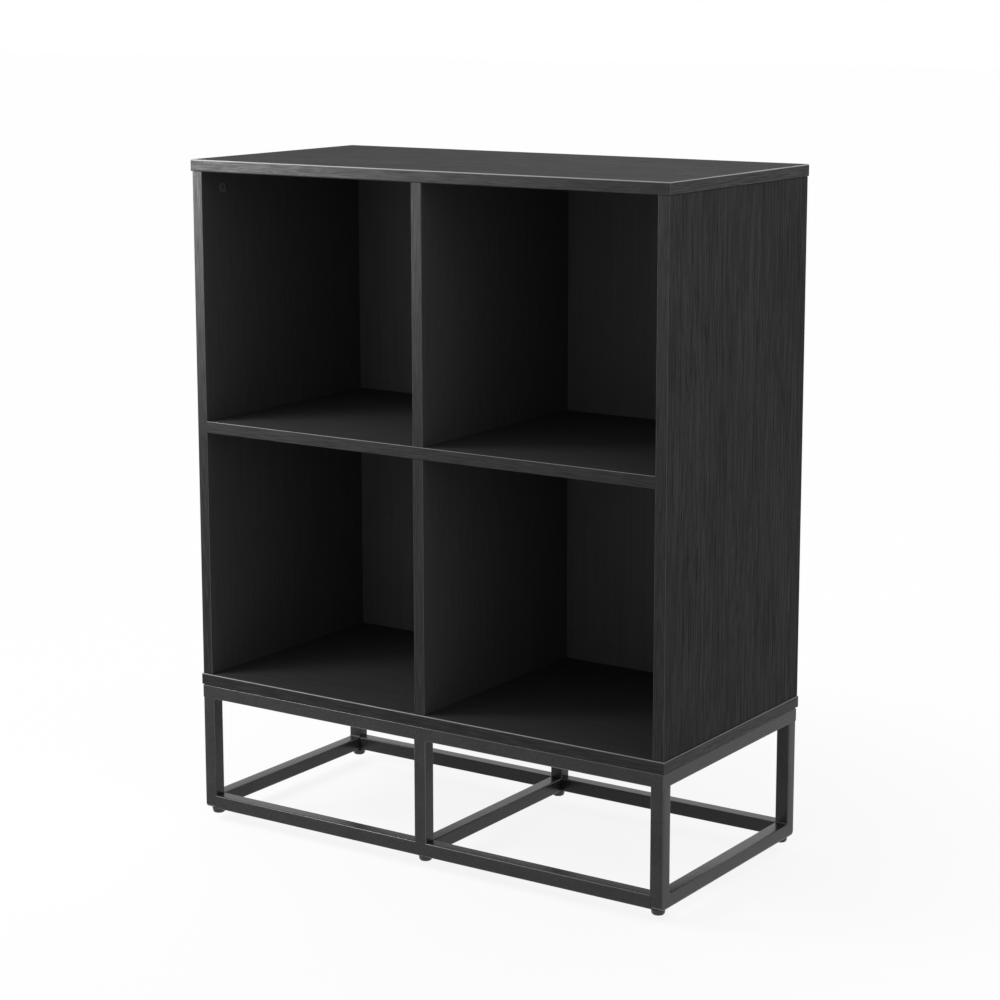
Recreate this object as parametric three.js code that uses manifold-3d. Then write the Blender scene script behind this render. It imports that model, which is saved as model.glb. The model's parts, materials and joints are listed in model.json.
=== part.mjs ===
// Two-by-two cube storage unit: a laminated board case on a welded square-tube base.
// Millimetres, +Z up. The open front faces -Y. The origin is on the floor, under the
// middle of the unit.

import * as THREE from 'three';
import { mergeVertices } from 'three/addons/utils/BufferGeometryUtils.js';
import Module from 'manifold-3d';

const wasm = await Module();
wasm.setup();

// ---------------------------------------------------------------- driving dimensions

const gap = 0.3;                // left between pieces that touch
const runningClearance = 0.08;  // radial, between a foot's stud, its bush and its pad

// case
const unitWidth = 743.4;        // over the top and bottom panels
const unitDepth = 360;
const unitHeight = 917;
const board = 16;               // board thickness
const sideSetIn = 1.7;          // the top and bottom panels stand past the side panels,
const frontSetIn = 1.7;         // past their front edges
const rearSetIn = 0.8;          // and past their rear edges
const lowerCellHeight = 341.4;
const coverRound = 1.6;         // eased edges of the top and bottom panels
const coverCornerRound = 0.8;   // their corners in plan
const bandRound = 0.8;          // eased front edges of the other boards
const backThickness = 3;
const grooveDepth = 5;
const grooveFromRear = 5.3;

// base
const footHeight = 8.8;
const baseHeight = 178.4;       // floor side of the bottom rails to the bottom panel
const tube = 19;
const tubeWall = 1.2;
const tubeRound = 2;
const foldRound = 5.5;          // outer radius of a side frame's folded corners
const foldFillet = 2.2;         // inside of the same corners
const baseSideSetIn = 1.1;      // from the bottom panel's ends
const baseFrontSetIn = 1.2;
const baseDepth = 354.6;

// levelling feet, M6 x 1
const padRadius = 9.6;
const padFloorRadius = 5.6;
const padFloorRound = 3.2;      // between the pad's floor and its flank
const studRadius = 2.9;
const studTop = 25.3;           // height above the floor, fully screwed in
const bushRadius = 4.6;         // threaded bush welded into a bottom rail
const bushHeight = 6;
const cornerFootSetIn = 3.6;    // towards the middle, from the tube's centre line
const frontFootSetIn = 3.3;     // rearwards, from the tube's centre line
const rearFootSetIn = 3.6;      // forwards, from the tube's centre line

// fittings
const camRadius = 7.4;
const camLength = 12.6;
const camReach = 24;            // centre of a cam below the top panel
const camBoltRoom = 3.1;        // radius of the hole that a cam bolt screws into
const camNeckRoom = 4.3;        // radius of its way down to the cam
const dowelRadius = 4;
const dowelBite = 12;           // depth of a dowel in each board
const confirmatLength = 50;
const pilotRadius = 2.7;        // hole in a board for a screw's thread
const baseScrewLength = 14;     // below its head, which bears inside the top rail
const baseScrewRoom = 2.9;
const screwAccessRadius = 5.6;

// ---------------------------------------------------------------- derived places

const caseWidth = unitWidth - 2 * sideSetIn;
const innerX = caseWidth / 2 - board;
const sideMidX = innerX + board / 2;
const rearY = unitDepth / 2;
const panelFrontY = -rearY;
const frontY = panelFrontY + frontSetIn;
const grooveY = rearY - grooveFromRear - backThickness - 2 * gap;
const grooveRearY = rearY - grooveFromRear;

const bottomUnder = footHeight + baseHeight;
const bottomTop = bottomUnder + board;
const shelfUnder = bottomTop + lowerCellHeight;
const shelfTop = shelfUnder + board;
const shelfMidZ = (shelfUnder + shelfTop) / 2;
const topUnder = unitHeight - board;

const baseX = unitWidth / 2 - baseSideSetIn;
const sideTubeX = baseX - tube / 2;
const baseFrontY = panelFrontY + baseFrontSetIn;
const baseRearY = baseFrontY + baseDepth;
const frontTubeY = baseFrontY + tube / 2;
const rearTubeY = baseRearY - tube / 2;
const baseTop = bottomUnder - gap;
const bottomTubeZ = footHeight + tube / 2;
const topTubeZ = baseTop - tube / 2;

const camY = [frontY + 44, rearY - 49];
const sideConfirmatY = [-120, 120];
const dividerFixingY = [-95, 95];
const shelfDowelY = [-110, 110];
const longRailScrewX = 180;

// ---------------------------------------------------------------- materials

function finish(color, roughness, metalness) {
  return { color, roughness, metalness };
}

const laminate = finish(0x2a2a2a, 0.62, 0);
const hardboard = finish(0x242424, 0.75, 0);
const powderCoat = finish(0x262626, 0.5, 0.3);
const zincPlate = finish(0xb4b6b8, 0.35, 1);
const blackZinc = finish(0x2c2c2d, 0.45, 0.8);
const padPlastic = finish(0x1a1a1a, 0.6, 0);
const beech = finish(0xc49a6c, 0.8, 0);

// ---------------------------------------------------------------- solids

function toSolid(geometry) {
  const bare = geometry.clone();
  bare.deleteAttribute('normal');
  bare.deleteAttribute('uv');
  const merged = mergeVertices(bare, 1e-4);
  const mesh = new wasm.Mesh({
    numProp: 3,
    vertProperties: Float32Array.from(merged.attributes.position.array),
    triVerts: Uint32Array.from(merged.index.array),
  });
  return new wasm.Manifold(mesh);
}

function toGeometry(solid) {
  const mesh = solid.getMesh();
  const geometry = new THREE.BufferGeometry();
  geometry.setAttribute('position', new THREE.BufferAttribute(mesh.vertProperties, 3));
  geometry.setIndex(new THREE.BufferAttribute(mesh.triVerts, 1));
  geometry.computeVertexNormals();
  return geometry;
}

function cut(geometry, tools) {
  let solid = toSolid(geometry);
  for (const tool of tools) solid = solid.subtract(toSolid(tool));
  return toGeometry(solid);
}

function join(geometry, additions) {
  let solid = toSolid(geometry);
  for (const addition of additions) solid = solid.add(toSolid(addition));
  return toGeometry(solid);
}

function intersect(geometry, limit) {
  return toGeometry(toSolid(geometry).intersect(toSolid(limit)));
}

function moved(geometry, x, y, z) {
  return geometry.clone().translate(x, y, z);
}

function alongX(geometry) {
  return geometry.clone().rotateY(Math.PI / 2);
}

function alongY(geometry) {
  return geometry.clone().rotateX(-Math.PI / 2);
}

// A profile of [radius, height] corners turned about Z. It starts and ends on the axis.
function revolve(profile, segments = 16) {
  const points = profile.map(([r, z]) => new THREE.Vector2(r, z));
  return new THREE.LatheGeometry(points, segments).rotateX(Math.PI / 2);
}

function rod(radius, from, to, segments = 16) {
  return revolve([[0, from], [radius, from], [radius, to], [0, to]], segments);
}

// Stands a flat outline up: its X and Y become Y and Z, and it is extruded along X.
function standAcrossX(geometry) {
  const yAxis = new THREE.Vector3(0, 1, 0);
  const zAxis = new THREE.Vector3(0, 0, 1);
  const xAxis = new THREE.Vector3(1, 0, 0);
  return geometry.applyMatrix4(new THREE.Matrix4().makeBasis(yAxis, zAxis, xAxis));
}

function block(x0, x1, y0, y1, z0, z1) {
  const geometry = new THREE.BoxGeometry(x1 - x0, y1 - y0, z1 - z0);
  return geometry.translate((x0 + x1) / 2, (y0 + y1) / 2, (z0 + z1) / 2);
}

function extrude(shape, from, to, curveSegments = 4) {
  const options = { depth: to - from, bevelEnabled: false, curveSegments };
  return new THREE.ExtrudeGeometry(shape, options).translate(0, 0, from);
}

function roundedRectangle(halfX, halfY, radius) {
  const shape = new THREE.Shape();
  shape.moveTo(-halfX + radius, -halfY);
  shape.lineTo(halfX - radius, -halfY);
  shape.absarc(halfX - radius, -halfY + radius, radius, -Math.PI / 2, 0);
  shape.lineTo(halfX, halfY - radius);
  shape.absarc(halfX - radius, halfY - radius, radius, 0, Math.PI / 2);
  shape.lineTo(-halfX + radius, halfY);
  shape.absarc(-halfX + radius, halfY - radius, radius, Math.PI / 2, Math.PI);
  shape.lineTo(-halfX, -halfY + radius);
  shape.absarc(-halfX + radius, -halfY + radius, radius, Math.PI, 1.5 * Math.PI);
  return shape;
}

// ---------------------------------------------------------------- fasteners

// Each profile stands on its own seat at height 0 and points up.
const camBoltProfile = [
  [0, -23.4], [2.6, -23.4], [3.4, -21.4], [2.0, -19.2], [2.0, -16.2], [2.8, -15.4],
  [2.8, -1.4], [3.9, -1.4], [3.9, -gap], [2.8, -gap], [2.8, 9], [1.6, 10.6], [0, 10.6],
];
const confirmatProfile = [
  [0, gap], [4.9, gap], [4.9, 1.2], [3.4, 3.6], [3.4, board - 2], [2.4, board - 1],
  [2.4, confirmatLength - 3], [0, confirmatLength],
];
const baseScrewProfile = [
  [0, -2.9], [2.8, -2.7], [4.3, -1.8], [4.8, -gap], [2.4, -gap],
  [2.4, baseScrewLength - 3], [0, baseScrewLength],
];

// A stepped hole for a panel screw: its head lies flush in the underside of the board.
function confirmatHole() {
  const headRoom = 4.9 + gap;
  const shankRoom = 3.4 + gap;
  return revolve([
    [0, -1], [headRoom, -1], [headRoom, 1.4], [shankRoom, 4], [shankRoom, board + 1], [0, board + 1],
  ], 12);
}

// The hole for a screw's thread in a board, up from a face at height 0.
function pilotHole(depth) {
  return rod(pilotRadius, -1, depth, 12);
}

function crossRecess(halfLength, halfWidth, from, to) {
  return [
    block(-halfLength, halfLength, -halfWidth, halfWidth, from, to),
    block(-halfWidth, halfWidth, -halfLength, halfLength, from, to),
  ];
}

function camBolt() {
  return cut(revolve(camBoltProfile, 12), crossRecess(1.9, 0.45, -24, -21.8));
}

function confirmat() {
  const hexSocket = rod(2.3, -1, gap + 2.5, 6);
  return cut(revolve(confirmatProfile, 12), [hexSocket]);
}

function baseScrew() {
  return cut(revolve(baseScrewProfile, 12), crossRecess(2.4, 0.5, -4, -1.2));
}

// A fluted wooden dowel with chamfered ends, centred on the origin along Z.
function dowel(length) {
  const flutes = 8;
  const shape = new THREE.Shape();
  for (let i = 0; i < 2 * flutes; i += 1) {
    const angle = (i * Math.PI) / flutes;
    const radius = dowelRadius - (i % 2 ? 0.35 : 0);
    const point = [radius * Math.cos(angle), radius * Math.sin(angle)];
    if (i) shape.lineTo(...point);
    else shape.moveTo(...point);
  }
  const chamfer = 0.8;
  const geometry = new THREE.ExtrudeGeometry(shape, {
    depth: length - 2 * chamfer,
    bevelThickness: chamfer,
    bevelSize: chamfer,
    bevelOffset: -chamfer,
    bevelSegments: 1,
  });
  return geometry.translate(0, 0, chamfer - length / 2);
}

function dowelHole(length) {
  return rod(dowelRadius + gap, -length / 2 - gap, length / 2 + gap, 12);
}

// ---------------------------------------------------------------- cam lock

// The drum lies along +X with its drive face at X = 0. The bolt comes down from +Z,
// through the neck slot, and its head is held behind a wall whose inside is a spiral.
const camHeadX = board / 2;
const spiralFrom = THREE.MathUtils.degToRad(75);
const spiralTo = THREE.MathUtils.degToRad(262);
const spiralTight = 4.9;
const spiralOpen = 6.3;

function spiralPocket() {
  const shape = new THREE.Shape();
  const steps = 8;
  for (let i = 0; i <= steps; i += 1) {
    const t = i / steps;
    const angle = THREE.MathUtils.lerp(spiralFrom, spiralTo, t);
    const radius = THREE.MathUtils.lerp(spiralTight, spiralOpen, t);
    const point = [radius * Math.cos(angle), radius * Math.sin(angle)];
    if (i) shape.lineTo(...point);
    else shape.moveTo(...point);
  }
  shape.absarc(0, 0, spiralTight, spiralTo, spiralFrom + 2 * Math.PI);
  return standAcrossX(extrude(shape, camHeadX - 3.8, camHeadX + 3.8));
}

function neckSlot() {
  const shape = new THREE.Shape();
  shape.moveTo(0, 0);
  shape.absarc(0, 0, camRadius + 2, spiralFrom - 0.25, spiralTo);
  return standAcrossX(extrude(shape, camHeadX - 2.5, camHeadX + 2.5));
}

function headEntry() {
  const entry = rod(3.8, 0, camRadius + 2);
  return moved(entry.rotateX(spiralTo - Math.PI / 2), camHeadX, 0, 0);
}

function camLock() {
  const drum = alongX(revolve([
    [0, 0], [camRadius - 0.5, 0], [camRadius, 0.5], [camRadius, camLength - 1],
    [camRadius - 1, camLength], [0, camLength],
  ], 24));
  const drive = crossRecess(3.1, 0.8, -1, 2.6).map(alongX);
  return cut(drum, [spiralPocket(), neckSlot(), headEntry(), ...drive]);
}

// ---------------------------------------------------------------- boards

// A panel banded all round: the bands' eased edges are mitred, and eased again in plan.
function coverPanel(under) {
  const halfX = unitWidth / 2;
  const halfY = unitDepth / 2;
  const outline = new THREE.Shape();
  outline.moveTo(-halfX, -halfY);
  outline.lineTo(halfX, -halfY);
  outline.lineTo(halfX, halfY);
  outline.lineTo(-halfX, halfY);
  const mitred = new THREE.ExtrudeGeometry(outline, {
    depth: board - 2 * coverRound,
    bevelThickness: coverRound,
    bevelSize: coverRound,
    bevelOffset: -coverRound,
    bevelSegments: 3,
  });
  const plan = extrude(roundedRectangle(halfX, halfY, coverCornerRound), -1, board + 1, 3);
  return intersect(mitred.translate(0, 0, coverRound), plan).translate(0, 0, under);
}

// An upright board with a banded front edge: thickness centred on X, height from 0 up.
function uprightBoard(rear, height) {
  const half = board / 2;
  const shape = new THREE.Shape();
  shape.moveTo(-half, rear);
  shape.lineTo(-half, frontY + bandRound);
  shape.absarc(-half + bandRound, frontY + bandRound, bandRound, Math.PI, 1.5 * Math.PI);
  shape.lineTo(half - bandRound, frontY);
  shape.absarc(half - bandRound, frontY + bandRound, bandRound, -Math.PI / 2, 0);
  shape.lineTo(half, rear);
  return extrude(shape, 0, height, 3);
}

function topPanel() {
  const tools = [block(-innerX - grooveDepth, innerX + grooveDepth, grooveY, grooveRearY,
    topUnder - 1, topUnder + grooveDepth)];
  for (const side of [-1, 1]) {
    for (const y of camY) {
      tools.push(moved(rod(camBoltRoom, -1, 11.2, 12), side * sideMidX, y, topUnder));
    }
  }
  for (const y of dividerFixingY) {
    tools.push(moved(dowelHole(2 * dowelBite), 0, y, topUnder));
  }
  return cut(coverPanel(topUnder), tools);
}

function bottomPanel() {
  const tools = [block(-innerX - grooveDepth, innerX + grooveDepth, grooveY, grooveRearY,
    bottomTop - grooveDepth, bottomTop + 1)];
  const throughHole = confirmatHole();
  for (const [x, y] of confirmatPlaces()) tools.push(moved(throughHole, x, y, bottomUnder));
  const pilot = pilotHole(baseScrewLength - tubeWall);
  for (const [x, y] of baseScrewPlaces()) tools.push(moved(pilot, x, y, bottomUnder));
  return cut(coverPanel(bottomUnder), tools);
}

// side is -1 for the left panel and 1 for the right.
function sidePanel(side) {
  const height = topUnder - bottomTop - 2 * gap;
  const rear = rearY - rearSetIn;
  const panel = moved(uprightBoard(rear, height), side * sideMidX, 0, bottomTop + gap);
  const face = side * innerX;
  const grooveX = [face - side, face + side * grooveDepth].sort((a, b) => a - b);
  const tools = [block(...grooveX, grooveY, grooveRearY, bottomTop - 1, topUnder + 1)];
  for (const y of camY) {
    const camHole = alongX(rod(camRadius + gap, -1, camLength + gap, 24));
    const turned = side < 0 ? camHole.rotateZ(Math.PI) : camHole;
    tools.push(moved(turned, face, y, topUnder - camReach));
    tools.push(moved(rod(camNeckRoom, -camReach, 1, 12), side * sideMidX, y, topUnder));
  }
  for (const y of sideConfirmatY) {
    const pilot = pilotHole(confirmatLength - board + gap);
    tools.push(moved(pilot, side * sideMidX, y, bottomTop));
  }
  for (const y of shelfDowelY) {
    tools.push(moved(alongX(dowelHole(2 * dowelBite)), face, y, shelfMidZ));
  }
  return cut(panel, tools);
}

function middleShelf() {
  const length = 2 * (innerX - gap);
  const flat = moved(alongX(uprightBoard(grooveY, length)), -length / 2, 0, shelfMidZ);
  const tools = [];
  for (const y of shelfDowelY) {
    for (const side of [-1, 1]) {
      tools.push(moved(alongX(dowelHole(2 * dowelBite)), side * innerX, y, shelfMidZ));
    }
  }
  for (const y of dividerFixingY) {
    tools.push(moved(rod(dowelRadius + gap, -board, board, 12), 0, y, shelfMidZ));
  }
  return cut(flat, tools);
}

function upperDivider() {
  const height = topUnder - shelfTop - 2 * gap;
  const tools = [];
  for (const y of dividerFixingY) {
    tools.push(moved(dowelHole(2 * dowelBite), 0, y, topUnder));
    tools.push(moved(rod(dowelRadius + gap, -1, dowelBite + gap, 12), 0, y, shelfTop));
  }
  return cut(moved(uprightBoard(grooveY, height), 0, 0, shelfTop + gap), tools);
}

function lowerDivider() {
  const height = shelfUnder - bottomTop - 2 * gap;
  const tools = [];
  for (const y of dividerFixingY) {
    tools.push(moved(rod(dowelRadius + gap, -dowelBite - gap, 1, 12), 0, y, shelfUnder));
    tools.push(moved(pilotHole(confirmatLength - board + gap), 0, y, bottomTop));
  }
  return cut(moved(uprightBoard(grooveY, height), 0, 0, bottomTop + gap), tools);
}

function backPanel() {
  const reach = grooveDepth - 2 * gap;
  return block(-innerX - reach, innerX + reach, grooveY + gap, grooveRearY - gap,
    bottomTop - reach, topUnder + reach);
}

// ---------------------------------------------------------------- base

// The long edges of a tube: the bore's are plainer, as nothing shows them.
function roundSteps(inset) {
  return inset < tubeWall ? 2 : 1;
}

// A straight run of square tube along Z. inset 0 is the outside and tubeWall the bore;
// a negative inset is the room that the tube needs in a piece coped to meet it.
function tubeCore(from, to, inset) {
  const half = tube / 2 - inset;
  return extrude(roundedRectangle(half, half, tubeRound - inset), from, to, roundSteps(inset));
}

function straightTube(from, to) {
  return cut(tubeCore(from, to, 0), [tubeCore(from - 1, to + 1, tubeWall)]);
}

// A U in the YZ plane: a leg at the front and the rear, folded into the bottom rail.
function foldedOutline(inset, top) {
  const y0 = baseFrontY + inset;
  const y1 = baseRearY - inset;
  const z0 = footHeight + inset;
  const width = tube - 2 * inset;
  const outer = foldRound - inset;
  const inner = foldFillet + inset;
  const shape = new THREE.Shape();
  shape.moveTo(y0, top);
  shape.lineTo(y0, z0 + outer);
  shape.absarc(y0 + outer, z0 + outer, outer, Math.PI, 1.5 * Math.PI);
  shape.lineTo(y1 - outer, z0);
  shape.absarc(y1 - outer, z0 + outer, outer, -Math.PI / 2, 0);
  shape.lineTo(y1, top);
  shape.lineTo(y1 - width, top);
  shape.lineTo(y1 - width, z0 + width + inner);
  shape.absarc(y1 - width - inner, z0 + width + inner, inner, 0, -Math.PI / 2, true);
  shape.lineTo(y0 + width + inner, z0 + width);
  shape.absarc(y0 + width + inner, z0 + width + inner, inner, -Math.PI / 2, -Math.PI, true);
  shape.lineTo(y0 + width, top);
  return shape;
}

function foldedCore(inset, top) {
  const round = tubeRound - inset;
  const geometry = new THREE.ExtrudeGeometry(foldedOutline(inset, top + round), {
    depth: tube - 2 * inset - 2 * round,
    bevelThickness: round,
    bevelSize: round,
    bevelOffset: -round,
    bevelSegments: roundSteps(inset),
    curveSegments: 2 * roundSteps(inset),
  });
  const standing = standAcrossX(geometry).translate(round + inset - tube / 2, 0, 0);
  return cut(standing, [block(-tube, tube, baseFrontY - tube, baseRearY + tube, top, top + tube)]);
}

// A threaded bush inside a bottom rail, welded round its foot to the rail's floor.
function footBush(x, y) {
  const bead = 0.8;
  const seat = tubeWall / 2;
  const profile = [
    [0, seat], [bushRadius + bead, seat], [bushRadius + bead, tubeWall],
    [bushRadius, tubeWall + bead], [bushRadius, tubeWall + bushHeight], [0, tubeWall + bushHeight],
  ];
  return moved(revolve(profile), x, y, footHeight);
}

function footHole(x, y) {
  return moved(rod(studRadius + runningClearance, -1, tubeWall + bushHeight + 1), x, y, footHeight);
}

function footPlaces() {
  const cornerX = sideTubeX - cornerFootSetIn;
  const frontFootY = frontTubeY + frontFootSetIn;
  const rearFootY = rearTubeY - rearFootSetIn;
  return {
    front_left: [-cornerX, frontFootY],
    front_middle: [0, frontFootY],
    front_right: [cornerX, frontFootY],
    rear_left: [-cornerX, rearFootY],
    rear_middle: [0, rearFootY],
    rear_right: [cornerX, rearFootY],
  };
}

function withFootBushes(geometry, places) {
  const welded = join(geometry, places.map(([x, y]) => footBush(x, y)));
  return cut(welded, places.map(([x, y]) => footHole(x, y)));
}

// Rails and legs run past the flat of the tube they meet and are coped to its rounded edges.
const copeReach = tubeRound;
const legTop = baseTop - tube + copeReach;
const crossRailEnd = sideTubeX - tube / 2 + copeReach;

function alongXRoom(y, z) {
  return moved(alongX(tubeCore(-unitWidth / 2, unitWidth / 2, -gap)), 0, y, z);
}

function alongYRoom(x, z) {
  return moved(alongY(tubeCore(-unitDepth / 2, unitDepth / 2, -gap)), x, 0, z);
}

function sideFrame(side) {
  const x = side * sideTubeX;
  const shell = cut(foldedCore(0, legTop), [foldedCore(tubeWall, legTop + 5)]);
  const coped = cut(moved(shell, x, 0, 0), [
    alongXRoom(frontTubeY, topTubeZ),
    alongXRoom(rearTubeY, topTubeZ),
    alongYRoom(x, topTubeZ),
  ]);
  const feet = footPlaces();
  const places = side < 0 ? [feet.front_left, feet.rear_left] : [feet.front_right, feet.rear_right];
  return withFootBushes(coped, places);
}

function sideFrameRoom() {
  const room = foldedCore(-gap, baseTop);
  return [moved(room, -sideTubeX, 0, 0), moved(room, sideTubeX, 0, 0)];
}

function middleLegRoom(y) {
  return moved(tubeCore(bottomTubeZ, topTubeZ, -gap), 0, y, 0);
}

// A screw goes up through an access hole in the rail's floor and a small hole in its top.
function screwHoles(geometry, places) {
  const access = rod(screwAccessRadius, -1, tubeWall + 1);
  const hole = rod(baseScrewRoom, -1, tubeWall + 1, 12);
  const tools = places.flatMap(([x, y]) => [
    moved(access, x, y, baseTop - tube),
    moved(hole, x, y, baseTop - tubeWall),
  ]);
  return cut(geometry, tools);
}

// The four top rails form a ring with mitred corners. This is what a rail loses past the
// mitre at one corner; inwards is measured from the ring's outer corner along X and Y.
function mitreWaste(sideX, sideY, railAlongX) {
  const reach = 2 * tube;
  const half = gap / Math.SQRT2;
  const corners = [[half - reach, -reach], [half + reach, reach], [-reach, reach]];
  const cornerY = sideY < 0 ? baseFrontY : baseRearY;
  const points = corners.map(([along, across]) => {
    const [inwardX, inwardY] = railAlongX ? [along, across] : [across, along];
    return new THREE.Vector2(sideX * (baseX - inwardX), cornerY - sideY * inwardY);
  });
  return extrude(new THREE.Shape(points), topTubeZ - tube, topTubeZ + tube);
}

function topCrossRail(side) {
  const y = side < 0 ? frontTubeY : rearTubeY;
  const rail = moved(alongX(straightTube(-baseX, baseX)), 0, y, topTubeZ);
  const mitred = cut(rail, [mitreWaste(-1, side, true), mitreWaste(1, side, true)]);
  return screwHoles(mitred, [[-longRailScrewX, y], [longRailScrewX, y]]);
}

function sideTopRail(side) {
  const x = side * sideTubeX;
  const middleY = (baseFrontY + baseRearY) / 2;
  const tubeAlongY = alongY(straightTube(-baseDepth / 2, baseDepth / 2));
  const mitred = cut(moved(tubeAlongY, x, middleY, topTubeZ), [
    mitreWaste(side, -1, false),
    mitreWaste(side, 1, false),
  ]);
  return screwHoles(mitred, [[x, 0]]);
}

function bottomCrossRail(y, foot) {
  const rail = moved(alongX(straightTube(-crossRailEnd, crossRailEnd)), 0, y, bottomTubeZ);
  return withFootBushes(cut(rail, sideFrameRoom()), [foot]);
}

function middleBottomRail() {
  const from = baseFrontY + tube - copeReach;
  const to = baseRearY - tube + copeReach;
  const middleY = (from + to) / 2;
  const tubeAlongY = alongY(straightTube((from - to) / 2, (to - from) / 2));
  return cut(moved(tubeAlongY, 0, middleY, bottomTubeZ), [
    alongXRoom(frontTubeY, bottomTubeZ),
    alongXRoom(rearTubeY, bottomTubeZ),
    middleLegRoom(frontTubeY),
    middleLegRoom(rearTubeY),
  ]);
}

function middleLeg(y) {
  return cut(moved(straightTube(footHeight + tube - copeReach, legTop), 0, y, 0), [
    alongXRoom(y, bottomTubeZ),
    alongXRoom(y, topTubeZ),
  ]);
}

// ---------------------------------------------------------------- feet

function footPad() {
  const pocket = rod(studRadius + runningClearance, 2.5 - gap, footHeight + 1);
  const top = footHeight - gap;
  const outline = [[0, 0], [padFloorRadius, 0]];
  const steps = 3;
  for (let i = 1; i <= steps; i += 1) {
    const angle = (i / steps) * (Math.PI / 2);
    const radius = padFloorRadius + padFloorRound * Math.sin(angle);
    outline.push([radius, padFloorRound * (1 - Math.cos(angle))]);
  }
  outline.push([padRadius, top - 0.5], [padRadius - 0.5, top], [0, top]);
  return cut(revolve(outline, 20), [pocket]);
}

function footStud() {
  const chamfer = 0.8;
  return revolve([
    [0, 2.5], [studRadius, 2.5], [studRadius, studTop - chamfer],
    [studRadius - chamfer, studTop], [0, studTop],
  ]);
}

// ---------------------------------------------------------------- fixing places

function confirmatPlaces() {
  const places = [];
  for (const side of [-1, 1]) {
    for (const y of sideConfirmatY) places.push([side * sideMidX, y]);
  }
  for (const y of dividerFixingY) places.push([0, y]);
  return places;
}

function baseScrewPlaces() {
  const places = [];
  for (const y of [frontTubeY, rearTubeY]) {
    for (const side of [-1, 1]) places.push([side * longRailScrewX, y]);
  }
  for (const side of [-1, 1]) places.push([side * sideTubeX, 0]);
  return places;
}

// ---------------------------------------------------------------- assembly

const unit = new THREE.Group();

function add(parent, name, geometry, look, x = 0, y = 0, z = 0) {
  const mesh = new THREE.Mesh(geometry, new THREE.MeshStandardMaterial(look));
  mesh.name = name;
  mesh.position.set(x, y, z);
  parent.add(mesh);
  return mesh;
}

function addCase() {
  const group = new THREE.Group();
  add(group, 'top_panel', topPanel(), laminate);
  add(group, 'bottom_panel', bottomPanel(), laminate);
  add(group, 'left_side_panel', sidePanel(-1), laminate);
  add(group, 'right_side_panel', sidePanel(1), laminate);
  add(group, 'middle_shelf', middleShelf(), laminate);
  add(group, 'upper_divider', upperDivider(), laminate);
  add(group, 'lower_divider', lowerDivider(), laminate);
  add(group, 'back_panel', backPanel(), hardboard);
  unit.add(group);
}

function addBase() {
  const group = new THREE.Group();
  const feet = footPlaces();
  add(group, 'left_side_frame', sideFrame(-1), powderCoat);
  add(group, 'right_side_frame', sideFrame(1), powderCoat);
  add(group, 'left_top_rail', sideTopRail(-1), powderCoat);
  add(group, 'right_top_rail', sideTopRail(1), powderCoat);
  add(group, 'front_top_rail', topCrossRail(-1), powderCoat);
  add(group, 'rear_top_rail', topCrossRail(1), powderCoat);
  add(group, 'front_bottom_rail', bottomCrossRail(frontTubeY, feet.front_middle), powderCoat);
  add(group, 'rear_bottom_rail', bottomCrossRail(rearTubeY, feet.rear_middle), powderCoat);
  add(group, 'front_middle_leg', middleLeg(frontTubeY), powderCoat);
  add(group, 'rear_middle_leg', middleLeg(rearTubeY), powderCoat);
  add(group, 'middle_bottom_rail', middleBottomRail(), powderCoat);
  unit.add(group);
}

function addFeet() {
  const group = new THREE.Group();
  for (const [place, [x, y]] of Object.entries(footPlaces())) {
    add(group, `foot_pad_${place}`, footPad(), padPlastic, x, y);
    add(group, `foot_stud_${place}`, footStud(), zincPlate, x, y);
  }
  unit.add(group);
}

function addCamFittings() {
  const group = new THREE.Group();
  for (const [sideName, side] of [['left', -1], ['right', 1]]) {
    for (const [yName, y] of [['front', camY[0]], ['rear', camY[1]]]) {
      const place = `${yName}_${sideName}`;
      const lock = add(group, `cam_lock_${place}`, camLock(), blackZinc,
        side * (innerX + gap), y, topUnder - camReach);
      if (side < 0) lock.rotation.z = Math.PI;
      add(group, `cam_bolt_${place}`, camBolt(), zincPlate, side * sideMidX, y, topUnder);
    }
  }
  unit.add(group);
}

function addScrews() {
  const group = new THREE.Group();
  confirmatPlaces().forEach(([x, y], i) => {
    add(group, `panel_screw_${i + 1}`, confirmat(), zincPlate, x, y, bottomUnder);
  });
  baseScrewPlaces().forEach(([x, y], i) => {
    add(group, `base_screw_${i + 1}`, baseScrew(), blackZinc, x, y, baseTop - tubeWall);
  });
  unit.add(group);
}

function addDowels() {
  const group = new THREE.Group();
  const short = 2 * dowelBite - 2 * gap;
  for (const [sideName, side] of [['left', -1], ['right', 1]]) {
    for (const [yName, y] of [['front', shelfDowelY[0]], ['rear', shelfDowelY[1]]]) {
      add(group, `shelf_dowel_${yName}_${sideName}`, alongX(dowel(short)), beech,
        side * innerX, y, shelfMidZ);
    }
  }
  for (const [yName, y] of [['front', dividerFixingY[0]], ['rear', dividerFixingY[1]]]) {
    add(group, `top_dowel_${yName}`, dowel(short), beech, 0, y, topUnder);
    add(group, `through_dowel_${yName}`, dowel(board + 2 * dowelBite), beech, 0, y, shelfMidZ);
  }
  unit.add(group);
}

addCase();
addBase();
addFeet();
addCamFittings();
addScrews();
addDowels();

export default unit;
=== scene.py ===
"""Looks for the cube storage unit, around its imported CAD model. Metres, +Z up, front to -Y."""

import json
import math

import bmesh
import bpy
from mathutils import Matrix, Vector


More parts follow.
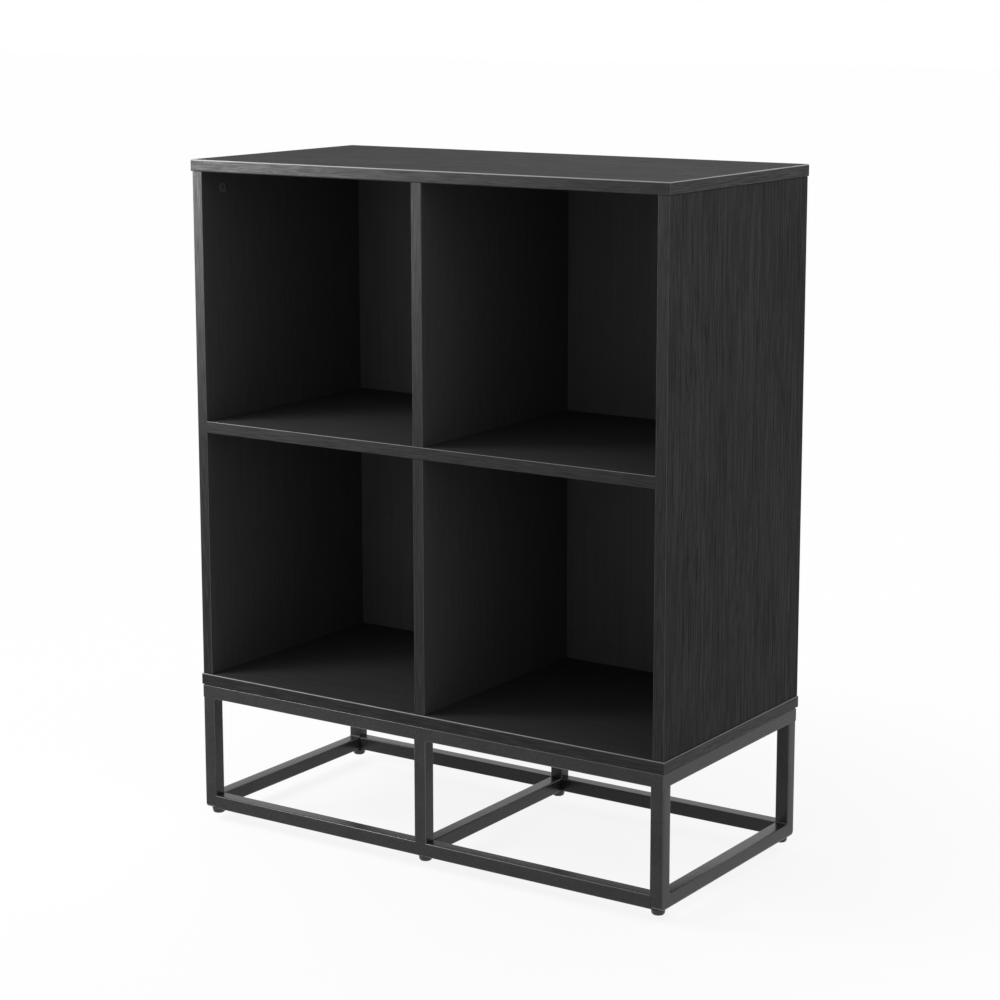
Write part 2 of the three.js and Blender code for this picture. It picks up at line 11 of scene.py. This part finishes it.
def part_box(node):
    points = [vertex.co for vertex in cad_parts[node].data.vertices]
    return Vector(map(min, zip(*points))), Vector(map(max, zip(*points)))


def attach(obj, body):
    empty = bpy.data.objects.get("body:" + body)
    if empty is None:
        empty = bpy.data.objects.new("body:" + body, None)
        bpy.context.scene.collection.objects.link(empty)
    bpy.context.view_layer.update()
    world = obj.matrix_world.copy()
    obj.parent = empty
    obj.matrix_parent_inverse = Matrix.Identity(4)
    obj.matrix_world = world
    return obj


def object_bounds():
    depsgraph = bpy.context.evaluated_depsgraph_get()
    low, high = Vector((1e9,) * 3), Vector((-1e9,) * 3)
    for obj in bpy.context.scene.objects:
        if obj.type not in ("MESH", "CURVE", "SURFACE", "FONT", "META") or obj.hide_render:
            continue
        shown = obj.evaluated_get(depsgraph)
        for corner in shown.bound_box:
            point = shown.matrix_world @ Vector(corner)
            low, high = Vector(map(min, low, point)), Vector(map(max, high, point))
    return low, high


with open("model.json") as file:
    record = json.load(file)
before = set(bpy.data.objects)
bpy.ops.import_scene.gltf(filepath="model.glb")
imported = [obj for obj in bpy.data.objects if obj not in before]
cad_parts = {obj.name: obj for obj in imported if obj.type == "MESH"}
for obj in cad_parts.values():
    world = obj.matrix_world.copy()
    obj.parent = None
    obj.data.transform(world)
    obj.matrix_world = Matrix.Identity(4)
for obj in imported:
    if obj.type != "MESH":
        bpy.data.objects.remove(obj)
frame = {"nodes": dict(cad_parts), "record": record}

CAD_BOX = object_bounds()

# ------------------------------------------------------------------ stage settings

BACKGROUND = 1.0  # strength of the world where it is seen: white
AMBIENT = 0.62  # strength of the world where it lights the object

FLOOR_GRAY = 0.85
FLOOR_REACH = 30.0  # half of the floor's width
FLOOR_DROP = 0.0002  # how far the floor stays under the lowest foot
WHITEN_DISTANCE = (0.35, 1.1)  # from the origin, where the floor starts and ends to whiten
WHITEN_SHARE = (0.88, 0.98)  # how white it is seen nearer and farther than that

UNDER_TOP_LEFT = (-0.37, -0.18, 0.85)  # a little under the top panel's front left corner
# Area lamps: name, place, the point it faces, width, power in watts.
LAMPS = (
    ("near_low", (-0.70, -0.67, 0.79), UNDER_TOP_LEFT, 0.35, 3.4),
    ("near_middle", (-0.95, -0.80, 0.95), UNDER_TOP_LEFT, 0.35, 7.0),
    ("near_high", (-0.75, -0.50, 1.05), UNDER_TOP_LEFT, 0.35, 2.4),
    ("near_front", (-0.60, -1.20, 1.00), (0.2, -0.18, 0.85), 0.5, 2.5),
    ("right_fill", (0.95, -0.20, 1.25), (0.37, 0.0, 0.85), 0.5, 1.6),
    ("back", (-0.40, 2.26, 2.11), (0.0, 0.0, 0.5), 1.5, 8.0),
)

CAMERA_PLACE = Vector((1.8664, -2.7762, 1.1480))
CAMERA_AZIMUTH = 34.284  # degrees to the right of the front
CAMERA_TILT = 10.248  # degrees downward
CAMERA_ROLL = -0.147  # degrees
CAMERA_LENS = 90.828  # millimetres
CAMERA_SENSOR = 36.0  # millimetres
CAMERA_SHIFT = (0.0214, -0.06)  # shares of the picture's width

# ------------------------------------------------------------------ node helpers

# A Mix node's first value and its result, by kind of data.
MIX_SOCKETS = {"FLOAT": (2, 0), "VECTOR": (4, 1), "RGBA": (6, 2)}


def gray(level):
    return (level, level, level, 1.0)


class Tree:
    """An emptied node tree, and short calls for the nodes that go into it."""

    def __init__(self, owner):
        owner.use_nodes = True
        self.tree = owner.node_tree
        self.tree.nodes.clear()

    def node(self, kind, **settings):
        made = self.tree.nodes.new(kind)
        for key, value in settings.items():
            setattr(made, key, value)
        return made

    def link(self, source, target):
        """Feeds an input from an output, or sets it to a plain value."""
        if isinstance(source, bpy.types.NodeSocket):
            self.tree.links.new(source, target)
        else:
            target.default_value = source

    def feed(self, made, *sources):
        """Feeds a node's inputs in their order, and gives its first output."""
        for source, target in zip(sources, made.inputs):
            self.link(source, target)
        return made.outputs[0]

    def math(self, operation, a, b=0.0, clamp=False):
        made = self.node("ShaderNodeMath", operation=operation, use_clamp=clamp)
        return self.feed(made, a, b)

    def times(self, a, b, clamp=False):
        return self.math("MULTIPLY", a, b, clamp)

    def above(self, value, limit):
        return self.math("GREATER_THAN", value, limit)

    def size(self, value):
        return self.math("ABSOLUTE", value)

    def weigh(self, a, share, b):
        """A sum with this share of a, and the rest of b."""
        return self.math("ADD", self.times(a, share), self.times(b, 1 - share))

    def remap(self, value, source, target=(0.0, 1.0), interpolation="LINEAR"):
        """Takes the range source to the range target, and clamps there."""
        made = self.node("ShaderNodeMapRange", interpolation_type=interpolation)
        return self.feed(made, value, *source, *target)

    def mix(self, kind, share, a, b):
        """a where share is 0, and b where it is 1."""
        made = self.node("ShaderNodeMix", data_type=kind)
        first, result = MIX_SOCKETS[kind]
        self.link(share, made.inputs[0])
        self.link(a, made.inputs[first])
        self.link(b, made.inputs[first + 1])
        return made.outputs[result]

    def mix_shaders(self, share, a, b):
        return self.feed(self.node("ShaderNodeMixShader"), share, a, b)

    def seen_white(self):
        """1 for rays that carry the background to the eye or into gloss and glass."""
        path = self.node("ShaderNodeLightPath").outputs
        seen = path["Is Camera Ray"]
        for other in ("Is Glossy Ray", "Is Transmission Ray"):
            seen = self.math("MAXIMUM", seen, path[other])
        return seen


class Finish(Tree):
    """A material with a Principled shader, made from noise, place and normal."""

    def __init__(self, name):
        self.material = bpy.data.materials.new(name)
        super().__init__(self.material)
        output = self.node("ShaderNodeOutputMaterial")
        self.shader = self.node("ShaderNodeBsdfPrincipled")
        self.link(self.shader.outputs["BSDF"], output.inputs["Surface"])

    def place(self):
        return self.node("ShaderNodeTexCoord").outputs["Object"]

    def normal(self):
        """The normal's x, y and z."""
        return self.split(self.node("ShaderNodeNewGeometry").outputs["Normal"])

    def split(self, vector):
        made = self.node("ShaderNodeSeparateXYZ")
        self.feed(made, vector)
        return made.outputs

    def combine(self, x, y, z):
        return self.feed(self.node("ShaderNodeCombineXYZ"), x, y, z)

    def noise(self, place, cells, detail, roughness=0.5, offset=(0, 0, 0)):
        """Noise with so many cells in a metre along each of the place's three numbers."""
        stretch = self.node("ShaderNodeMapping")
        self.link(place, stretch.inputs["Vector"])
        self.link(cells, stretch.inputs["Scale"])
        self.link(offset, stretch.inputs["Location"])
        made = self.node("ShaderNodeTexNoise")
        self.link(stretch.outputs[0], made.inputs["Vector"])
        self.link(1.0, made.inputs["Scale"])
        self.link(detail, made.inputs["Detail"])
        self.link(roughness, made.inputs["Roughness"])
        return made.outputs["Fac"]

    def shade(self, tone, grays):
        """From the first gray to the second as tone goes from 0 to 1."""
        return self.mix("RGBA", tone, *map(gray, grays))

    def finish(self, color, roughness, height, depth, **constants):
        """Closes the material; depth is how far height 1 is embossed, in metres."""
        bump = self.node("ShaderNodeBump")
        self.link(height, bump.inputs["Height"])
        self.link(depth, bump.inputs["Distance"])
        self.link(color, self.shader.inputs["Base Color"])
        self.link(roughness, self.shader.inputs["Roughness"])
        self.link(bump.outputs[0], self.shader.inputs["Normal"])
        for name, value in constants.items():
            self.link(value, self.shader.inputs[name.replace("_", " ")])
        return self.material


# ------------------------------------------------------------------ masks

MOST_NOISE = (0.3, 0.7)  # nearly all of a noise's values

# A face counts as facing an axis where that number of its normal is above these.
FLAT_FACING = 0.5
EDGE_FACING = 0.6
END_FACING = 0.7

# The product of two of the normal's numbers where the eased rounding of an edge starts and
# is full. It is 0 on a flat face, and 0.5 half way round a square edge.
BOARD_EASING = (0.12, 0.4)
TUBE_EASING = (0.2, 0.45)

# Painted highlights on the boards' edges: the range of what they depend on, and their share
# there.
STEEPNESS = (0.05, 0.3)  # size of the normal's z, from upright to level edges
STEEPNESS_SHARE = (0.3, 1.0)
UPPER_SIDE = (-0.3, -0.1)  # the normal's z, from undersides, which get no painted highlight, upward
PATCH_SHARE = (0.65, 1.0)

CELL_MARGIN = 0.001  # how far the masks of the cells stay from the case's outside


def grain_place(n, along_x):
    """The place on a board, turned so that its third number runs along the grain."""
    x, y, z = n.split(n.place())
    if not along_x:
        return n.combine(x, y, z)
    lengthwise = n.combine(z, y, x)
    crosswise = n.combine(x, z, y)
    on_end = n.above(n.size(n.normal()[0]), END_FACING)
    return n.mix("VECTOR", on_end, lengthwise, crosswise)


def edge_mask(n, along_x):
    """1 on a board's banded edges and 0 on its faces."""
    x, y, _ = n.normal()
    front = n.above(n.size(y), EDGE_FACING)
    if not along_x:
        return front
    return n.math("MAXIMUM", front, n.above(n.size(x), EDGE_FACING))


def eased_mask(n, easing):
    """1 on the rounding between two faces, where the painted edge highlights go."""
    x, y, z = n.normal()
    pairs = [n.size(n.times(a, b)) for a, b in ((x, y), (y, z), (z, x))]
    most = n.math("MAXIMUM", pairs[0], n.math("MAXIMUM", pairs[1], pairs[2]))
    return n.remap(most, easing)


def cell_masks(n):
    """Walls and ceilings inside the cells, then their floors, where the cells' painted light
    goes: 1 there and 0 elsewhere.
    """
    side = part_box("right_side_panel")[1].x - CELL_MARGIN
    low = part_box("bottom_panel")[0].z + CELL_MARGIN
    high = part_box("top_panel")[1].z - CELL_MARGIN
    x, _, z = n.split(n.place())
    inside = n.math("LESS_THAN", n.size(x), side)
    inside = n.times(inside, n.above(z, low))
    inside = n.times(inside, n.math("LESS_THAN", z, high))
    floors = n.times(inside, n.above(n.normal()[2], FLAT_FACING))
    return n.math("SUBTRACT", inside, floors), floors


def painted_edge_highlights(n, patch):
    """Painted highlights along the edges' roundings: in patches, most on upper edges, little on
    upright ones.
    """
    up = n.normal()[2]
    level = n.remap(n.size(up), STEEPNESS, STEEPNESS_SHARE)
    patches = n.remap(patch, MOST_NOISE, PATCH_SHARE)
    upper = n.remap(up, UPPER_SIDE)
    share = n.times(n.times(level, patches), upper)
    return n.times(eased_mask(n, BOARD_EASING), share)


# ------------------------------------------------------------------ laminate

# Noise cells in a metre: twice across the grain, then along it.
SWAY_CELLS = (9, 9, 2.2)
BROAD_CELLS = (430, 430, 8)
FINE_CELLS = (760, 760, 24)
PORE_CELLS = (1100, 1100, 55)
PATCH_CELLS = (12, 12, 3)
BAND_CELLS = (800, 800, 26)  # of the edge band

# Offsets that keep those noises apart.
FINE_OFFSET = (3, 5, 7)
PORE_OFFSET = (8, 2, 6)
PATCH_OFFSET = (1, 9, 4)
BAND_OFFSET = (5, 1, 3)

SWAY = 0.022  # how far the grain sways
STREAK_ROUGHNESS = 0.6  # of the noises that make streaks
BROAD_SHARE = 0.6  # of the broad streaks, against the fine ones

# Where the streaks, the band and the pores go from dark to light, and what they do to the tone.
STREAK_RANGE = (0.37, 0.63)
BAND_RANGE = (0.38, 0.62)
PORE_RANGE = (0.30, 0.42)
PATCH_TONE = (0.8, 1.1)
PORE_TONE = (1.0, 0.4)

# Darkest and lightest gray of the boards' parts.
FACE_GRAYS = (0.006, 0.036)
WALL_GRAYS = (0.038, 0.048)  # inside the cells, ceilings too: lighter than the outside, as painted light in the shaded cells
# The cells' floors: their own gray, set so that under the lamps they read as bright as the
# walls: painted light and shade.
FLOOR_GRAYS = (0.012, 0.022)
BAND_GRAYS = (0.003, 0.018)
EDGE_HIGHLIGHT_GRAYS = (0.2, 0.42)  # of the painted edge highlights: the lower boards', then the top panel's

# Roughness where the tone is darkest and lightest.
FACE_ROUGHNESS = (0.92, 0.76)
BAND_ROUGHNESS = (0.52, 0.37)
FLOOR_ROUGHNESS = 0.95
EDGE_HIGHLIGHT_ROUGHNESS = 0.3

LAMINATE_DEPTH = 0.0003  # how far a height of 1 is embossed
PORE_DEPTH = 0.5  # height of the pores, against 1 for the streaks
FACE_DEPTH = 0.5  # share of those heights on the faces
BAND_DEPTH = 0.8  # height of the edge band's own streaks

LEVEL_BOARDS = ("top_panel", "bottom_panel", "middle_shelf")


def laminate(name, along_x):
    """Black wood-grain laminate: printed streaks and pores, both embossed."""
    n = Finish(name)
    place = grain_place(n, along_x)
    a, b, along = n.split(place)
    sway = n.times(n.noise(place, SWAY_CELLS, 1), SWAY)
    swayed = n.combine(n.math("ADD", a, sway), n.math("ADD", b, sway), along)
    broad = n.noise(swayed, BROAD_CELLS, 3, STREAK_ROUGHNESS)
    fine = n.noise(swayed, FINE_CELLS, 2, STREAK_ROUGHNESS, FINE_OFFSET)
    streak = n.weigh(broad, BROAD_SHARE, fine)
    band = n.noise(swayed, BAND_CELLS, 2, STREAK_ROUGHNESS, BAND_OFFSET)
    patch = n.noise(place, PATCH_CELLS, 2, offset=PATCH_OFFSET)
    pore_noise = n.noise(swayed, PORE_CELLS, 1, offset=PORE_OFFSET)
    pores = n.remap(pore_noise, PORE_RANGE, (1.0, 0.0))

    patch_tone = n.remap(patch, MOST_NOISE, PATCH_TONE)
    tone = n.times(n.remap(streak, STREAK_RANGE), patch_tone, clamp=True)
    tone = n.times(tone, n.remap(pores, (0.0, 1.0), PORE_TONE))
    band_tone = n.remap(band, BAND_RANGE)

    walls, floors = cell_masks(n)
    edge = edge_mask(n, along_x)
    edge_highlight = painted_edge_highlights(n, patch)
    on_top_panel = n.above(n.split(n.place())[2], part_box("top_panel")[0].z)

    color = n.shade(tone, FACE_GRAYS)
    # Painted light: the cells' walls and ceilings lighter than the outside faces, their floors
    # set apart.
    color = n.mix("RGBA", walls, color, n.shade(tone, WALL_GRAYS))
    color = n.mix("RGBA", floors, color, n.shade(tone, FLOOR_GRAYS))
    color = n.mix("RGBA", edge, color, n.shade(band_tone, BAND_GRAYS))
    # Painted highlight: the rounded edges paler, brightest on the top panel.
    color = n.mix("RGBA", edge_highlight, color, n.shade(on_top_panel, EDGE_HIGHLIGHT_GRAYS))

    roughness = n.remap(tone, (0.0, 1.0), FACE_ROUGHNESS)
    roughness = n.mix("FLOAT", floors, roughness, FLOOR_ROUGHNESS)
    roughness = n.mix("FLOAT", edge, roughness, n.remap(band_tone, (0.0, 1.0), BAND_ROUGHNESS))
    roughness = n.mix("FLOAT", edge_highlight, roughness, EDGE_HIGHLIGHT_ROUGHNESS)

    grain = n.times(n.math("SUBTRACT", streak, n.times(pores, PORE_DEPTH)), FACE_DEPTH)
    height = n.mix("FLOAT", edge, grain, n.times(band, BAND_DEPTH))
    return n.finish(color, roughness, height, LAMINATE_DEPTH, Specular_IOR_Level=0.18)


# ------------------------------------------------------------------ other finishes


def hardboard():
    """Black hardboard with a faint upright grain: lighter in front, facing into the cells, as
    painted light, and darker behind.
    """
    n = Finish("hardboard_black")
    place = n.place()
    streak = n.noise(place, (300, 300, 5), 2)
    mottle = n.noise(place, (40, 40, 40), 2)
    tone = n.remap(n.weigh(streak, 0.6, mottle), (0.35, 0.65))
    behind = n.above(n.normal()[1], FLAT_FACING)
    # Painted light: the front face, in the shade of the cells, lighter than the back.
    lit_front_gray, back_gray = n.shade(tone, (0.042, 0.054)), n.shade(tone, (0.022, 0.034))
    color = n.mix("RGBA", behind, lit_front_gray, back_gray)
    roughness = n.remap(mottle, MOST_NOISE, (0.5, 0.6))
    return n.finish(color, roughness, streak, depth=0.00003, Specular_IOR_Level=0.3)


def powder_coat():
    """Satin black powder coat: fine orange peel, and a paler gray on the roundings as a painted
    highlight.
    """
    n = Finish("powder_coat_black")
    place = n.place()
    peel = n.noise(place, (600, 600, 600), 2)
    cloud = n.noise(place, (25, 25, 25), 2)
    eased = eased_mask(n, TUBE_EASING)
    color = n.shade(n.remap(n.weigh(peel, 0.7, cloud), (0.38, 0.62)), (0.014, 0.03))
    # Painted highlight: the roundings of the tubes paler.
    color = n.mix("RGBA", n.times(eased, 0.7), color, gray(0.12))
    roughness = n.mix("FLOAT", eased, n.remap(cloud, MOST_NOISE, (0.23, 0.3)), 0.2)
    return n.finish(color, roughness, peel, depth=0.000015, Specular_IOR_Level=0.25)


def foot_plastic():
    """Black moulded nylon."""
    n = Finish("foot_plastic_black")
    place = n.place()
    skin = n.noise(place, (1800, 1800, 1800), 1)
    cloud = n.noise(place, (120, 120, 120), 1)
    color = n.shade(n.remap(cloud, MOST_NOISE), (0.008, 0.013))
    return n.finish(color, n.remap(cloud, MOST_NOISE, (0.32, 0.42)), skin, depth=0.00001)


def zinc_plate():
    """Bright zinc plate: a mottled tone and fine handling marks."""
    n = Finish("bright_zinc_plate")
    place = n.place()
    cloud = n.noise(place, (260, 260, 260), 3)
    marks = n.noise(place, (2600, 2600, 300), 1)
    color = n.shade(n.remap(cloud, MOST_NOISE), (0.42, 0.6))
    roughness = n.remap(marks, MOST_NOISE, (0.25, 0.4))
    return n.finish(color, roughness, marks, depth=0.00001, Metallic=1.0)


def black_zinc():
    """Black passivated zinc: a dull dark gray skin with a mottled gloss."""
    n = Finish("black_zinc_plate")
    place = n.place()
    cloud = n.noise(place, (260, 260, 260), 3)
    skin = n.noise(place, (1500, 1500, 1500), 1)
    color = n.shade(n.remap(cloud, MOST_NOISE), (0.06, 0.10))
    return n.finish(color, n.remap(cloud, MOST_NOISE, (0.4, 0.55)), skin, depth=0.00001)


def beech():
    """Raw beech, with the short flecks of its rays."""
    n = Finish("beech_raw")
    fleck = n.noise(n.place(), (900, 900, 900), 2)
    dark, light = (0.45, 0.27, 0.13, 1), (0.62, 0.4, 0.21, 1)
    color = n.mix("RGBA", n.remap(fleck, MOST_NOISE), dark, light)
    return n.finish(color, 0.75, fleck, depth=0.00003)


def make_looks():
    """The finish of every material slot; the laminate has one for each way of the grain."""
    return {
        "laminate_upright": laminate("laminate_upright", along_x=False),
        "laminate_flat": laminate("laminate_flat", along_x=True),
        "hardboard": hardboard(),
        "powder_coat": powder_coat(),
        "foot_plastic": foot_plastic(),
        "black_zinc": black_zinc(),
        "zinc_plate": zinc_plate(),
        "beech": beech(),
    }


def dress(looks):
    """Gives every CAD node the finish of its material slot."""
    for part in frame["record"]["subparts"]:
        look = part["material_slot"]
        if look == "laminate":
            look = "laminate_flat" if part["node"] in LEVEL_BOARDS else "laminate_upright"
        slots = frame["nodes"][part["node"]].data.materials
        slots.clear()
        slots.append(looks[look])


# ------------------------------------------------------------------ smooth faces

SHARP_ANGLE = 32.0  # degrees, above which an edge stays sharp
WELD_DISTANCE = 1e-6


def smoothing_group():
    """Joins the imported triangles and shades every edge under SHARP_ANGLE as round."""
    group = bpy.data.node_groups.new("smooth_round_faces", "GeometryNodeTree")
    for way in ("INPUT", "OUTPUT"):
        group.interface.new_socket("Geometry", in_out=way, socket_type="NodeSocketGeometry")
    kinds = (
        "NodeGroupInput",
        "GeometryNodeMergeByDistance",
        "GeometryNodeRemoveAttribute",
        "GeometryNodeSetShadeSmooth",
        "GeometryNodeSetShadeSmooth",
        "NodeGroupOutput",
    )
    chain = [group.nodes.new(kind) for kind in kinds]
    for before, after in zip(chain, chain[1:]):
        group.links.new(before.outputs["Geometry"], after.inputs["Geometry"])
    _, merge, drop, faces, edges, _ = chain
    merge.inputs["Distance"].default_value = WELD_DISTANCE
    drop.inputs["Name"].default_value = "custom_normal"
    faces.domain = "FACE"
    edges.domain = "EDGE"
    edges.inputs["Shade Smooth"].default_value = False
    angle = group.nodes.new("GeometryNodeInputMeshEdgeAngle")
    sharp = group.nodes.new("FunctionNodeCompare")
    sharp.data_type = "FLOAT"
    sharp.operation = "GREATER_THAN"
    sharp.inputs[1].default_value = math.radians(SHARP_ANGLE)
    group.links.new(angle.outputs["Unsigned Angle"], sharp.inputs[0])
    group.links.new(sharp.outputs["Result"], edges.inputs["Selection"])
    return group


def smooth_all(pieces):
    """Rounded faces shade round, while the large flat faces beside them stay flat."""
    group = smoothing_group()
    for piece in pieces:
        piece.modifiers.new("smooth_round_faces", "NODES").node_group = group
        piece.modifiers.new("weighted_normals", "WEIGHTED_NORMAL").keep_sharp = True


# ------------------------------------------------------------------ welds of the base

TUBE = 0.019  # width of the CAD's tube, the rounding of its edges and the gap at its joints
TUBE_ROUND = 0.002
JOINT_GAP = 0.0003
SEAM_INSET = 0.00005  # how far a seam stays under the tubes' skin
FLAT_SEAM = 0.0006  # half length of a seam between two flat ends
COPED_SEAM = 0.0026  # half length of one that also fills the rounding beside a coped end
BEAD = 0.0016  # radius of the fillet welds above the legs
ROUND_STEPS = 4  # straight steps in a quarter circle
X_AXIS, Y_AXIS, Z_AXIS = Vector((1, 0, 0)), Vector((0, 1, 0)), Vector((0, 0, 1))


def quarter_turns():
    """The angles of a quarter circle's points."""
    return [math.pi / 2 * step / ROUND_STEPS for step in range(ROUND_STEPS + 1)]


def tube_section():
    """The rounded square outline that a seam fills, as pairs across the tube."""
    middle = TUBE / 2 - SEAM_INSET - TUBE_ROUND
    points = []
    for quarter, (sx, sy) in enumerate(((1, 1), (-1, 1), (-1, -1), (1, -1))):
        for step in quarter_turns():
            turn = math.pi / 2 * quarter + step
            x = sx * middle + TUBE_ROUND * math.cos(turn)
            points.append((x, sy * middle + TUBE_ROUND * math.sin(turn)))
    return points


def add_prism(mesh, outline, along):
    """Closes the solid between an outline and the same outline moved by along."""
    low = [mesh.verts.new(point) for point in outline]
    high = [mesh.verts.new(point + along) for point in outline]
    mesh.faces.new(list(reversed(low)))
    mesh.faces.new(high)
    for i in range(len(outline)):
        j = (i + 1) % len(outline)
        mesh.faces.new((low[i], low[j], high[j], high[i]))


def add_seam(mesh, middle, first, second, run):
    """Fills the joint at middle; first and second span the tube's section."""
    outline = [middle + first * a + second * b - run for a, b in tube_section()]
    add_prism(mesh, outline, run * 2)


def add_bead(mesh, corner, first, second):
    """A concave fillet in the corner between two faces that lie along first and second."""
    run = first.cross(second).normalized() * (TUBE / 2 - TUBE_ROUND)
    outline = [corner - run]
    for turn in quarter_turns():
        a = BEAD * (1 - math.sin(turn))
        b = BEAD * (1 - math.cos(turn))
        outline.append(corner + first * a + second * b - run)
    add_prism(mesh, outline, run * 2)


def make_welds(look):
    """The ground seams and small fillets that join the tubes of the base."""
    half = TUBE / 2
    front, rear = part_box("front_top_rail"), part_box("rear_top_rail")
    rail_low, rail_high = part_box("front_bottom_rail")
    corner_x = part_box("right_top_rail")[1].x - half
    ring_low = front[0].z
    leg_top = ring_low - JOINT_GAP / 2
    leg_foot = rail_high.z + JOINT_GAP / 2
    rail_middle = (rail_low.z + rail_high.z) / 2
    mesh = bmesh.new()
    for y, toward in ((front[0].y + half, -1), (rear[1].y - half, 1)):
        for side in (-1, 1):
            # Mitre of the top ring, head of the corner leg, end of the bottom rail.
            corner = Vector((side * corner_x, y, ring_low + half))
            mitre = Vector((side, toward, 0))
            across = Vector((side, -toward, 0)).normalized() * FLAT_SEAM
            add_seam(mesh, corner, mitre, Z_AXIS, across)
            add_seam(mesh, Vector((corner.x, y, leg_top)), X_AXIS, Y_AXIS, Z_AXIS * COPED_SEAM)
            end = Vector((side * (corner_x - half - JOINT_GAP / 2), y, rail_middle))
            add_seam(mesh, end, Y_AXIS, Z_AXIS, X_AXIS * FLAT_SEAM)
            # Fillets under the ring: two at the corner leg, one at the middle leg.
            below = Vector((0, 0, -half))
            to_middle, inward = X_AXIS * -side, Y_AXIS * -toward
            add_bead(mesh, corner + below + to_middle * half, to_middle, -Z_AXIS)
            add_bead(mesh, corner + below + inward * half, inward, -Z_AXIS)
            add_bead(mesh, Vector((side * half, y, ring_low)), X_AXIS * side, -Z_AXIS)
        # Head and foot of the middle leg, and the middle bottom rail's end.
        add_seam(mesh, Vector((0, y, leg_top)), X_AXIS, Y_AXIS, Z_AXIS * COPED_SEAM)
        add_seam(mesh, Vector((0, y, leg_foot)), X_AXIS, Y_AXIS, Z_AXIS * FLAT_SEAM)
        joint = y - toward * (half + JOINT_GAP / 2)
        add_seam(mesh, Vector((0, joint, rail_middle)), X_AXIS, Z_AXIS, Y_AXIS * FLAT_SEAM)
    bmesh.ops.recalc_face_normals(mesh, faces=mesh.faces)
    data = bpy.data.meshes.new("base_welds")
    mesh.to_mesh(data)
    mesh.free()
    welds = bpy.data.objects.new("base_welds", data)
    bpy.context.scene.collection.objects.link(welds)
    data.materials.append(look)
    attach(welds, "unit")
    return welds


# ------------------------------------------------------------------ stage


def make_world():
    """White where it is seen, and dimmer where it lights the object."""
    world = bpy.data.worlds.new("studio")
    n = Tree(world)
    output = n.node("ShaderNodeOutputWorld")
    seen = n.feed(n.node("ShaderNodeBackground"), gray(1.0), BACKGROUND)
    light = n.feed(n.node("ShaderNodeBackground"), gray(1.0), AMBIENT)
    n.link(n.mix_shaders(n.seen_white(), light, seen), output.inputs["Surface"])
    bpy.context.scene.world = world


def pale_floor():
    """Matt and pale, and seen whiter away from the object, so that its end doesn't show."""
    material = bpy.data.materials.new("pale_floor")
    n = Tree(material)
    output = n.node("ShaderNodeOutputMaterial")
    matt = n.feed(n.node("ShaderNodeBsdfDiffuse"), gray(FLOOR_GRAY))
    glow = n.node("ShaderNodeEmission")
    n.link(BACKGROUND, glow.inputs["Strength"])
    place = n.node("ShaderNodeNewGeometry").outputs["Position"]
    away = n.node("ShaderNodeVectorMath", operation="LENGTH")
    n.link(place, away.inputs[0])
    whiten = n.remap(away.outputs["Value"], WHITEN_DISTANCE, WHITEN_SHARE, "SMOOTHSTEP")
    share = n.times(n.seen_white(), whiten)
    n.link(n.mix_shaders(share, matt, glow.outputs[0]), output.inputs["Surface"])
    return material


def make_floor():
    """A pale floor, just under the feet where they are screwed out furthest."""
    reach = FLOOR_REACH
    corners = [(-reach, -reach, 0), (reach, -reach, 0), (reach, reach, 0), (-reach, reach, 0)]
    mesh = bpy.data.meshes.new("floor")
    mesh.from_pydata(corners, [], [(0, 1, 2, 3)])
    floor = bpy.data.objects.new("floor", mesh)
    bpy.context.scene.collection.objects.link(floor)
    joints = frame["record"]["behaviour"]["joints"]
    travel = max(joint["range_m"][1] for joint in joints if joint["type"] == "slide")
    floor.location.z = CAD_BOX[0].z - travel - FLOOR_DROP
    floor.data.materials.append(pale_floor())


def make_lamps():
    for name, place, aim, size, power in LAMPS:
        data = bpy.data.lights.new(name, "AREA")
        data.size = size
        data.energy = power
        lamp = bpy.data.objects.new(name, data)
        lamp.location = place
        lamp.visible_camera = False
        lamp.rotation_mode = "QUATERNION"
        lamp.rotation_quaternion = (Vector(aim) - Vector(place)).to_track_quat("-Z", "Y")
        bpy.context.scene.collection.objects.link(lamp)


def make_camera():
    azimuth = math.radians(CAMERA_AZIMUTH)
    tilt = math.radians(CAMERA_TILT)
    forward = Vector((
        -math.sin(azimuth) * math.cos(tilt),
        math.cos(azimuth) * math.cos(tilt),
        -math.sin(tilt),
    ))
    level = Vector((math.cos(azimuth), math.sin(azimuth), 0.0))
    right = Matrix.Rotation(math.radians(CAMERA_ROLL), 3, -forward) @ level
    turn = Matrix((right, right.cross(forward), -forward)).transposed()
    data = bpy.data.cameras.new("camera")
    data.sensor_width = CAMERA_SENSOR
    data.lens = CAMERA_LENS
    data.shift_x, data.shift_y = CAMERA_SHIFT
    camera = bpy.data.objects.new("camera", data)
    camera.matrix_world = Matrix.Translation(CAMERA_PLACE) @ turn.to_4x4()
    bpy.context.scene.collection.objects.link(camera)
    bpy.context.scene.camera = camera


# ------------------------------------------------------------------ scene

looks = make_looks()
dress(looks)
welds = make_welds(looks["powder_coat"])
smooth_all([*frame["nodes"].values(), welds])
make_world()
make_floor()
make_lamps()
make_camera()
bpy.context.scene.view_settings.view_transform = "Standard"
